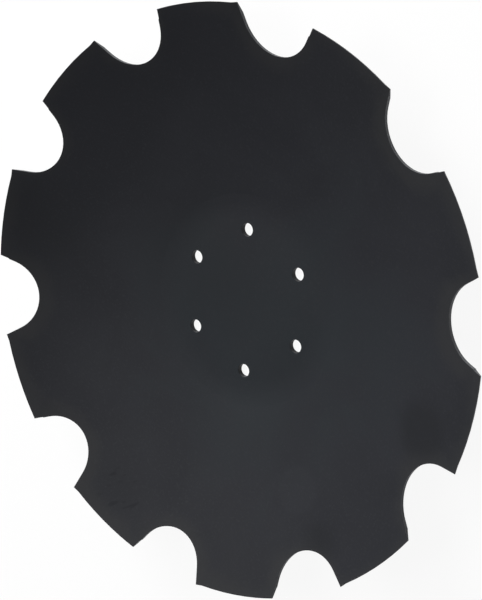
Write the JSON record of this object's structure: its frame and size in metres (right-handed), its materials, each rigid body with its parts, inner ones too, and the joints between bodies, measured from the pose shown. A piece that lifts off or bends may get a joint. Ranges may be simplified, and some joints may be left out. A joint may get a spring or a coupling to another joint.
{
  "type": "harrow disc blade",
  "caption": "Dished steel disc blade with a notched, bevelled cutting edge and a flat centre drilled for bolting to a hub.",
  "frame": {"origin": "middle of the bolt circle, on the underside of the flat centre", "axes": "+Z along the disc's axis, out of its hollow side; +X through a bolt hole and the middle of a notch"},
  "size_m": [0.6056, 0.61, 0.0574],
  "materials": {
    "black_paint": "satin"
  },
  "bodies": {
    "root": {"disc_blade": "black_paint"}
  },
  "joints": []
}
